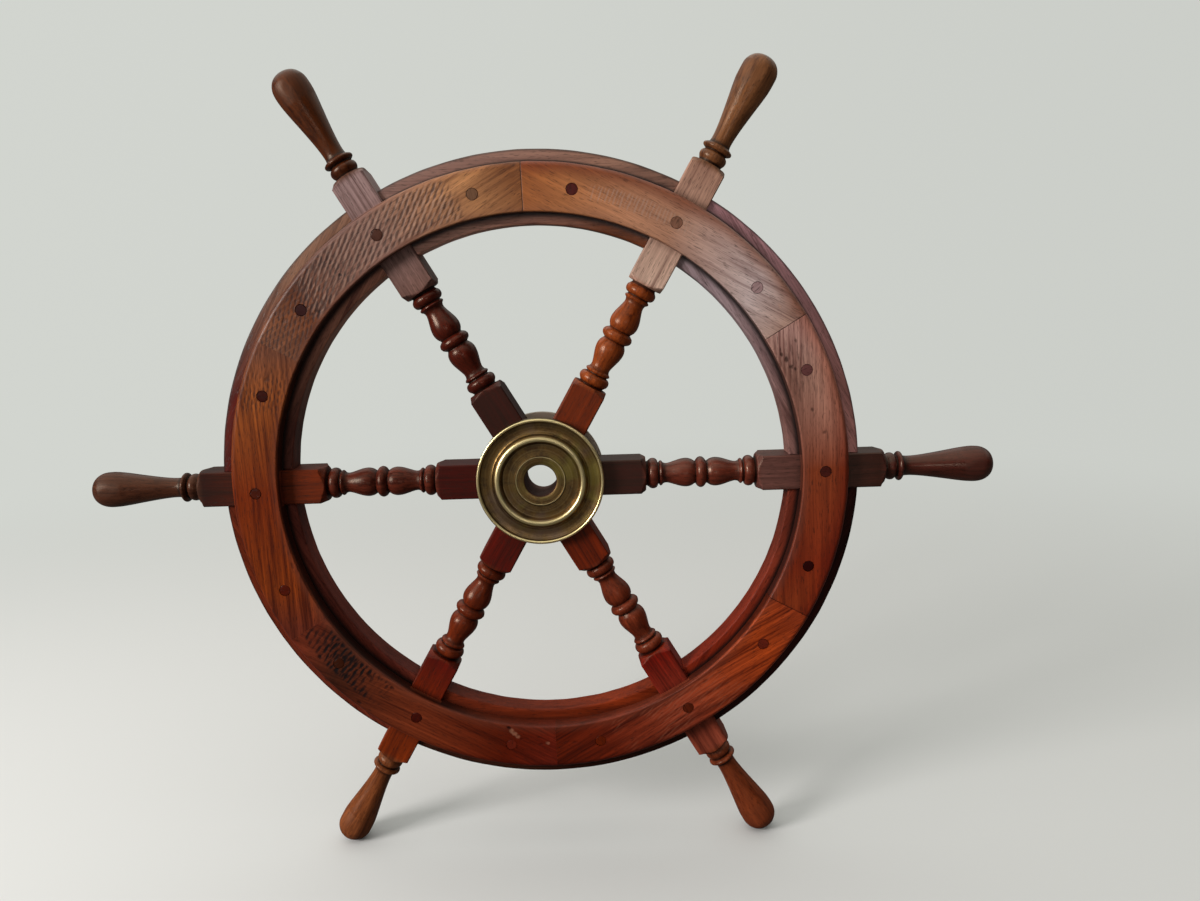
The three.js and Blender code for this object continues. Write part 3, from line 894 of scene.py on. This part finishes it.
def brass(name, base, bright, stain, rough, metallic=1.0):
    """Aged brass, turned: brighter where the rings stand out, dull and blotched in the dishes."""
    mat, n, surface = new_material(name)
    at = n.add("TexCoord").outputs["Object"]
    axes = n.split(at)
    radius = distance(n, axes[0], axes[2])
    lathe_lines = n.noise(n.join(radius, axes[1], 0.0), 1100.0, 2.0, 0.7)
    blotch = n.noise(at, 55.0, 4.0, 0.65)
    fine = n.noise(at, 420.0, 3.0, 0.6)
    lip_and_bead = n.steps(n.math("ABSOLUTE", axes[1]), 0.0268, 0.0276)
    bush_ring = n.times(n.band(radius, 0.0240, 0.0246, 0.0003), 0.6)
    standing = n.math("MAXIMUM", lip_and_bead, bush_ring)
    flat = n.minus(1.0, standing)
    dull = n.steps(n.plus(n.times(blotch, 0.8), n.times(fine, 0.2)), 0.42, 0.62)
    dull, fine = n.times(dull, flat), n.times(fine, flat)
    colour = n.mix(dull, base, stain)
    olive = n.steps(n.noise(at, 24.0, 3.0, 0.6), 0.50, 0.66, 0.0, 0.75)
    colour = n.mix(olive, colour, OLIVE_FILL)
    elsewhere = n.vector("ADD", at, (3.0, 1.0, 2.0))
    mauve = n.steps(n.noise(elsewhere, 26.0, 3.0, 0.6), 0.50, 0.66, 0.0, 0.6)
    colour = n.mix(mauve, colour, MAUVE_FILL)
    colour = n.mix(n.times(n.minus(lathe_lines, 0.4), 0.5, clamp=True), colour, bright)
    colour = n.mix(standing, colour, bright)
    # Painted shade: the bore's wall is filled with a dark brown.
    bore = n.steps(radius, 0.0162, 0.0168, 1.0, 0.0)
    colour = n.mix(bore, colour, BORE_SHADE_FILL)
    # The rear flange's front side, which shows past the front one, takes a pale colour and less metal: a
    # painted reflection.
    back = n.times(n.steps(axes[1], 0.0, 0.001), n.steps(axes[1], 0.0205, 0.0225, 1.0, 0.0))
    back = n.times(back, n.steps(radius, 0.030, 0.034))
    n.put(surface["Base Color"], n.mix(back, colour, BACK_REFLECTION_FILL))
    n.put(surface["Metallic"], n.times(n.minus(1.0, back), metallic))
    roughness = n.plus(n.times(dull, 0.14), rough)
    roughness = n.plus(roughness, n.times(fine, 0.08))
    roughness = n.minus(roughness, n.times(standing, 0.02))
    n.put(surface["Roughness"], n.plus(roughness, n.times(bore, 0.25)))
    height = n.times(n.plus(n.times(blotch, 0.6), n.times(fine, 0.4)), flat)
    bumped = n.add("Bump", {"Strength": 0.04, "Distance": 0.0002, "Height": height})
    n.put(surface["Normal"], bumped.outputs[0])
    return mat


# ------------------------ stains, with painted reflection and shade

# Colours at distances in metres along each piece's grain, which for a felloe are from its middle
# and for a spoke from the hub's centre. Besides the stains they hold painted light: the pale pink and grey
# colours of the upper pieces are partly a painted reflection in the varnish, and the darkest colours of the
# lower pieces partly painted shade.
FELLOE_PLACES = (-0.138, -0.097, 0.0, 0.097, 0.138)
FELLOE_TONES = {
    1: [(145, 56, 22), (125, 40, 14), (133, 57, 28), (182, 133, 116), (220, 170, 157)],
    2: [(198, 156, 139), (230, 205, 201), (186, 131, 102), (170, 103, 58), (160, 89, 40)],
    3: [(138, 82, 44), (181, 123, 79), (146, 105, 91), (100, 48, 18), (119, 69, 43)],
    4: [(114, 66, 45), (151, 78, 31), (121, 42, 4), (132, 54, 12), (102, 41, 24)],
    5: [(102, 41, 24), (63, 29, 17), (121, 50, 25), (91, 23, 5), (105, 30, 15)],
    6: [(88, 23, 5), (100, 29, 10), (139, 56, 34), (178, 69, 24), (150, 57, 25)],
}
REAR_TONES = [(-0.12, (124, 56, 32)), (0.12, (132, 66, 38))]

# A middle felloe's inner side, its outer side and its sheen. The pale grey colours of 1 and 2 are partly a
# painted reflection, and the dark outer sides of 5 and 6 are painted shade.
MIDDLE_PLACES = (-0.07, 0.07)
MIDDLE_TONES = {
    1: ([(141, 97, 89), (175, 150, 154)], [(196, 131, 124), (202, 146, 152)], 0.5),
    2: ([(114, 55, 18), (230, 167, 145)], [(140, 99, 81), (151, 111, 98)], 0.5),
    3: ([(199, 132, 107), (89, 43, 32)], [(139, 98, 76), (87, 15, 2)], 0.22),
    4: ([(117, 54, 42), (99, 40, 28)], [(98, 35, 14), (113, 46, 29)], 0.12),
    5: ([(96, 34, 16), (128, 45, 17)], [(60, 30, 20), (60, 30, 20)], 0.08),
    6: ([(129, 39, 18), (114, 47, 32)], [(54, 20, 15), (54, 20, 15)], 0.1),
}
# How strong the painted shade under the front ring is on each middle felloe: weaker on 5, at the foot, where
# the ledge is lit.
MIDDLE_GROOVE_SHADE = {5: 0.4}
FULL_GROOVE_SHADE = 0.95

# A spoke's inner block, baluster, outer block's two ends and handle, and its sheen. The pale pink outer
# blocks of 2 and 3 are partly a painted reflection.
SPOKE_PLACES = ((0.101,), (0.106, 0.214), (0.221,), (0.339,), (0.345, 0.44))
SPOKE_TONES = {
    1: ([(51, 3, 2), (101, 40, 26), (100, 59, 53), (48, 13, 6), (71, 27, 20)], 0.6),
    2: ([(115, 36, 2), (144, 64, 23), (217, 178, 158), (183, 136, 115), (127, 78, 46)], 0.4),
    3: ([(47, 3, 2), (73, 19, 8), (119, 83, 75), (163, 132, 130), (87, 38, 11)], 0.4),
    4: ([(63, 3, 2), (97, 39, 25), (108, 34, 3), (42, 3, 2), (74, 39, 25)], 0.28),
    5: ([(92, 9, 2), (99, 34, 12), (88, 9, 2), (132, 45, 3), (124, 66, 35)], 0.3),
    6: ([(113, 31, 2), (115, 45, 24), (123, 13, 2), (153, 70, 49), (125, 56, 29)], 0.3),
}
# A dowel's colour, which on the pale pink 2a is partly a painted reflection.
DOWEL_TONES = {
    "1a": (47, 3, 2), "1b": (74, 26, 19), "1c": (103, 60, 58),
    "2a": (183, 149, 149), "2b": (145, 99, 78), "2c": (85, 31, 28),
    "3a": (105, 72, 52), "3b": (86, 50, 38), "3c": (57, 23, 22),
    "4a": (55, 10, 3), "4b": (71, 20, 3), "4c": (83, 19, 2),
    "5a": (56, 20, 4), "5b": (65, 11, 2), "5c": (105, 31, 14),
    "6a": (94, 27, 2), "6b": (95, 32, 9), "6c": (113, 37, 21),
}

# Each front felloe's seed, sheen and strength of [bands, streaks], and what of PLAIN_LOOK it
# changes.
FACE_LOOKS = {
    1: dict(seed=1.3, sheen=0.25, grain=(1.0, 1.2), specks=0.6, inner=0.25, inner_tint=(130, 84, 70),
            outer=0.85, outer_from=0.283, outer_tint=(0.58, 0.33, 0.26, 1.0),
            patches=[(0.06, 0.12, 0.0050, 0.016, 10, 0.30, 0.2, DARK_STROKES)]),
    2: dict(seed=2.9, sheen=0.45, grain=(0.8, 0.8), specks=0.6, inner=0.25, inner_tint=(120, 76, 56),
            outer=0.9, outer_from=0.288, outer_tint=(0.54, 0.31, 0.22, 1.0), reach=(0.277, 0.287),
            patches=[(-0.020, 0.075, 0.0036, 0.040, 96, 0.40, 0.46, LIGHT_STROKES)]),
    3: dict(seed=4.1, sheen=0.30, grain=(1.3, 1.3),
            patches=[(-0.070, 0.080, 0.0043, 0.030, 212, 0.42, 0.42, LIGHT_STROKES),
                     (-0.075, 0.085, 0.0043, 0.012, 32, 0.64, 0.38, DARK_STROKES),
                     (0.050, 0.150, 0.0040, 0.0076, 42, 0.66, 0.28, DARK_STROKES)]),
    4: dict(seed=5.7, sheen=0.15, grain=(1.7, 1.8), specks=0.3,
            patches=[(-0.155, -0.088, 0.0040, 0.0076, -16, 0.60, 0.26, DARK_STROKES)]),
    5: dict(seed=7.3, sheen=0.12, grain=(1.3, 1.4), specks=0.4, reach=(0.2655, 0.290),
            patches=[(-0.136, -0.062, 0.0056, 0.014, 80, 1.0, 0.32, BLACK_STROKES),
                     (-0.125, -0.050, 0.0047, 0.009, 66, 0.9, 0.24, BLACK_STROKES)]),
    6: dict(seed=8.8, sheen=0.15, grain=(2.1, 2.0), specks=0.3,
            patches=[(-0.07, 0.06, 0.0034, 0.026, 12, 0.26, 0.2, WARM_STROKES)]),
}
REAR_LOOK = dict(specks=0.4, patches=[(-0.10, 0.08, 0.0046, 0.012, 15, 0.4, 0.2, DARK_STROKES)])
WARM_SHEEN = (1.0, 0.80, 0.62, 1.0)
WHITE = (255, 255, 255)


# ------------------------ assembly

def keep(ob, mat, node):
    """Puts a finished piece in the place of its CAD node."""
    ob.data.materials.clear()
    ob.data.materials.append(mat)
    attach(ob, "root")
    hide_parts(node)


def build_rim_felloes(i):
    look = FACE_LOOKS[i]
    figure, streaks = look["grain"]
    tones = list(zip(FELLOE_PLACES, FELLOE_TONES[i]))
    mat = wood(f"felloe_wood_{i}", tones, look["seed"], grain="Z", figure=figure, streaks=streaks,
               rough=0.36, sheen=look["sheen"], marks=chatter_marks(look))
    keep(face_felloe(i, True, f"front_felloe_{i}_wood"), mat, f"front_felloe_{i}")
    mat = wood(f"rear_felloe_wood_{i}", REAR_TONES, look["seed"] + 20, grain="Z", sheen=0.35,
               marks=chatter_marks(REAR_LOOK))
    keep(face_felloe(i, False, f"rear_felloe_{i}_wood"), mat, f"rear_felloe_{i}")
    *sides, sheen = MIDDLE_TONES[i]
    inside, outside = (list(zip(MIDDLE_PLACES, side)) for side in sides)
    marks = ledge_marks(inside, outside, MIDDLE_GROOVE_SHADE.get(i, FULL_GROOVE_SHADE))
    mat = wood(f"middle_wood_{i}", WHITE, 30 + i * 1.7, grain="Z", figure=1.3, streaks=1.0,
               rough=0.36, sheen=sheen, bump=0.35, marks=marks)
    keep(middle_felloe(i, f"middle_felloe_{i}_wood"), mat, f"middle_felloe_{i}")


def build_spoke(i):
    colours, sheen = SPOKE_TONES[i]
    tones = [(at, colour) for places, colour in zip(SPOKE_PLACES, colours) for at in places]
    mat = wood(f"spoke_wood_{i}", tones, 50 + i * 2.3, figure=1.4, streaks=1.4, rough=0.24,
               sheen=sheen, bump=0.15, tint=WARM_SHEEN, marks=spoke_marks)
    keep(spoke(i, f"spoke_{i}_turned"), mat, f"spoke_{i}")


def build_dowels(i):
    for side, offset in DOWEL_ANGLES.items():
        seed = i * 3.1 + offset
        mat = wood(f"dowel_wood_{i}{side}", DOWEL_TONES[f"{i}{side}"], 70 + seed, figure=0.5,
                   streaks=0.6, rough=0.34, sheen=0.15, bump=0.3, marks=rear_end)
        piece = dowel(f"dowel_{i}{side}_wood", (i - 1) * PITCH + offset, seed)
        keep(piece, mat, f"dowel_{i}{side}")


def build_hub():
    hub = brass("aged_brass", srgb(126, 96, 55), srgb(255, 232, 172), srgb(78, 56, 36), 0.34)
    keep(front_flange("hub_front_brass"), hub, "hub_front_flange")
    rear = brass("rear_brass", srgb(150, 126, 84), srgb(226, 200, 140), srgb(118, 96, 62), 0.38, 0.6)
    keep(rear_flange("hub_rear_brass"), rear, "hub_rear_flange")
    keep(bush("hub_bush_brass"), hub, "hub_bush")
    head = brass("screw_brass_metal", srgb(166, 142, 84), srgb(206, 182, 116), srgb(120, 96, 58), 0.3)
    for i in range(SPOKES):
        keep(screw(f"hub_screw_{i + 1}_brass", i), head, f"hub_screw_{i + 1}")


for number in range(1, SPOKES + 1):
    build_rim_felloes(number)
    build_spoke(number)
    build_dowels(number)
build_hub()


# ------------------------ stage, light and camera

# How bright the backdrop, the room behind the camera and the ceiling are, at the left and right.
WALL_LEFT, WALL_RIGHT = 0.645, 0.600
ROOM_LEFT, ROOM_RIGHT = 0.30, 0.09
CEILING_LEFT, CEILING_RIGHT = 1.25, 0.60
LOW_SHARE = 0.16
FLOOR_SEEN, FLOOR_BOUNCE = (0.735, 0.722, 0.715, 1.0), (0.10, 0.097, 0.094, 1.0)
FLOOR_REACH = 60.0
FLOOR_FADE = (0.75, 2.6)


def backdrop_colour(n, tone):
    return n.add("CombineColor", {0: tone, 1: n.times(tone, 1.03), 2: n.times(tone, 0.97)}).outputs[0]


def plain_stage(name):
    """A plain pale floor that gives back little light, and fades into the backdrop far away."""
    mat, n, surface = new_material(name)
    n.put(surface["Roughness"], 0.8)
    n.put(surface["Specular IOR Level"], 0.0)
    at = n.add("TexCoord").outputs["Object"]
    away = n.add("VectorMath", {0: at}, operation="LENGTH").outputs["Value"]
    aim = n.split(n.add("VectorMath", {0: at}, operation="NORMALIZE").outputs[0])
    far = n.steps(away, *FLOOR_FADE)
    seen = n.add("LightPath").outputs["Is Camera Ray"]
    near = n.mix(far, FLOOR_SEEN, (0.0, 0.0, 0.0, 1.0))
    n.put(surface["Base Color"], n.mix(seen, FLOOR_BOUNCE, near))
    wall = n.steps(aim[0], -0.7, 0.7, WALL_LEFT, WALL_RIGHT)
    n.put(surface["Emission Color"], backdrop_colour(n, wall))
    n.put(surface["Emission Strength"], n.times(far, seen))
    return mat


def studio(name):
    """A world that shows the camera a pale wall, and lights the wheel as a room would."""
    world = bpy.data.worlds.new(name)
    world.use_nodes = True
    n = Nodes(world.node_tree)
    aim = n.split(n.add("TexCoord").outputs["Generated"])
    wall = n.steps(aim[0], -0.7, 0.7, WALL_LEFT, WALL_RIGHT)
    room = n.steps(aim[0], -0.9, 0.9, ROOM_LEFT, ROOM_RIGHT)
    ahead = n.steps(aim[1], -0.55, 0.35)
    sides = n.plus(n.times(wall, ahead), n.times(room, n.minus(1.0, ahead)))
    ceiling = n.steps(aim[0], -0.8, 0.8, CEILING_LEFT, CEILING_RIGHT)
    lift = n.steps(aim[2], 0.35, 0.95)
    tone = n.plus(n.times(ceiling, lift), n.times(sides, n.minus(1.0, lift)))
    tone = n.times(tone, n.steps(aim[2], 0.25, 0.55, LOW_SHARE, 1.0))
    seen = n.add("LightPath").outputs["Is Camera Ray"]
    tone = n.plus(n.times(wall, seen), n.times(tone, n.minus(1.0, seen)))
    background = world.node_tree.nodes["Background"].inputs
    n.put(background[0], backdrop_colour(n, tone))
    n.put(background[1], 1.0)
    return world


def area(name, location, target, size, power, colour):
    data = bpy.data.lights.new(name, "AREA")
    data.shape = "RECTANGLE"
    data.size, data.size_y = size
    data.energy = power
    data.color = colour
    ob = placed(name, data)
    ob.location = location
    ob.rotation_mode = "QUATERNION"
    ob.rotation_quaternion = (Vector(target) - Vector(location)).to_track_quat("-Z", "Y")
    ob.visible_camera = False


level = CAD_LOW[2] - 0.0005
corners = [(x * FLOOR_REACH, y * FLOOR_REACH, level) for x, y in ((-1, -1), (1, -1), (1, 1), (-1, 1))]
floor_mesh = bpy.data.meshes.new("floor")
floor_mesh.from_pydata(corners, [], [(0, 1, 2, 3)])
floor = placed("floor", floor_mesh)
floor_mesh.materials.append(plain_stage("pale_floor"))
floor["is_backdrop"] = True

bpy.context.scene.world = studio("studio")
area("key", (-2.3, -1.5, 0.85), (0, 0, 0.05), size=(1.0, 0.9), power=66, colour=(1.0, 0.985, 0.96))
# Two pale walls behind the camera: they only show as a soft veil in the upper faces' varnish.
area("veil", (0.42, -3.2, 0.32), (0.1, 0, 0.2), size=(0.7, 0.5), power=4.2, colour=(1.0, 0.93, 0.90))
area("veil_left", (-0.85, -3.0, 0.42), (-0.1, 0, 0.2), size=(0.5, 0.3), power=1.3,
     colour=(1.0, 0.95, 0.92))

# The place, turn and lens that lay the wheel over the one in the photograph.
camera_data = bpy.data.cameras.new("camera")
camera = placed("camera", camera_data)
camera_data.sensor_fit = "HORIZONTAL"
camera_data.sensor_width = 36.0
camera_data.lens = 27.374
camera_data.clip_end = 200.0
camera.location = (0.06627, -0.90968, 0.19403)
camera.rotation_euler = [math.radians(angle) for angle in (79.470, 1.798, 0.055)]
bpy.context.scene.camera = camera
bpy.context.scene.view_settings.view_transform = "Standard"

bpy.context.view_layer.update()
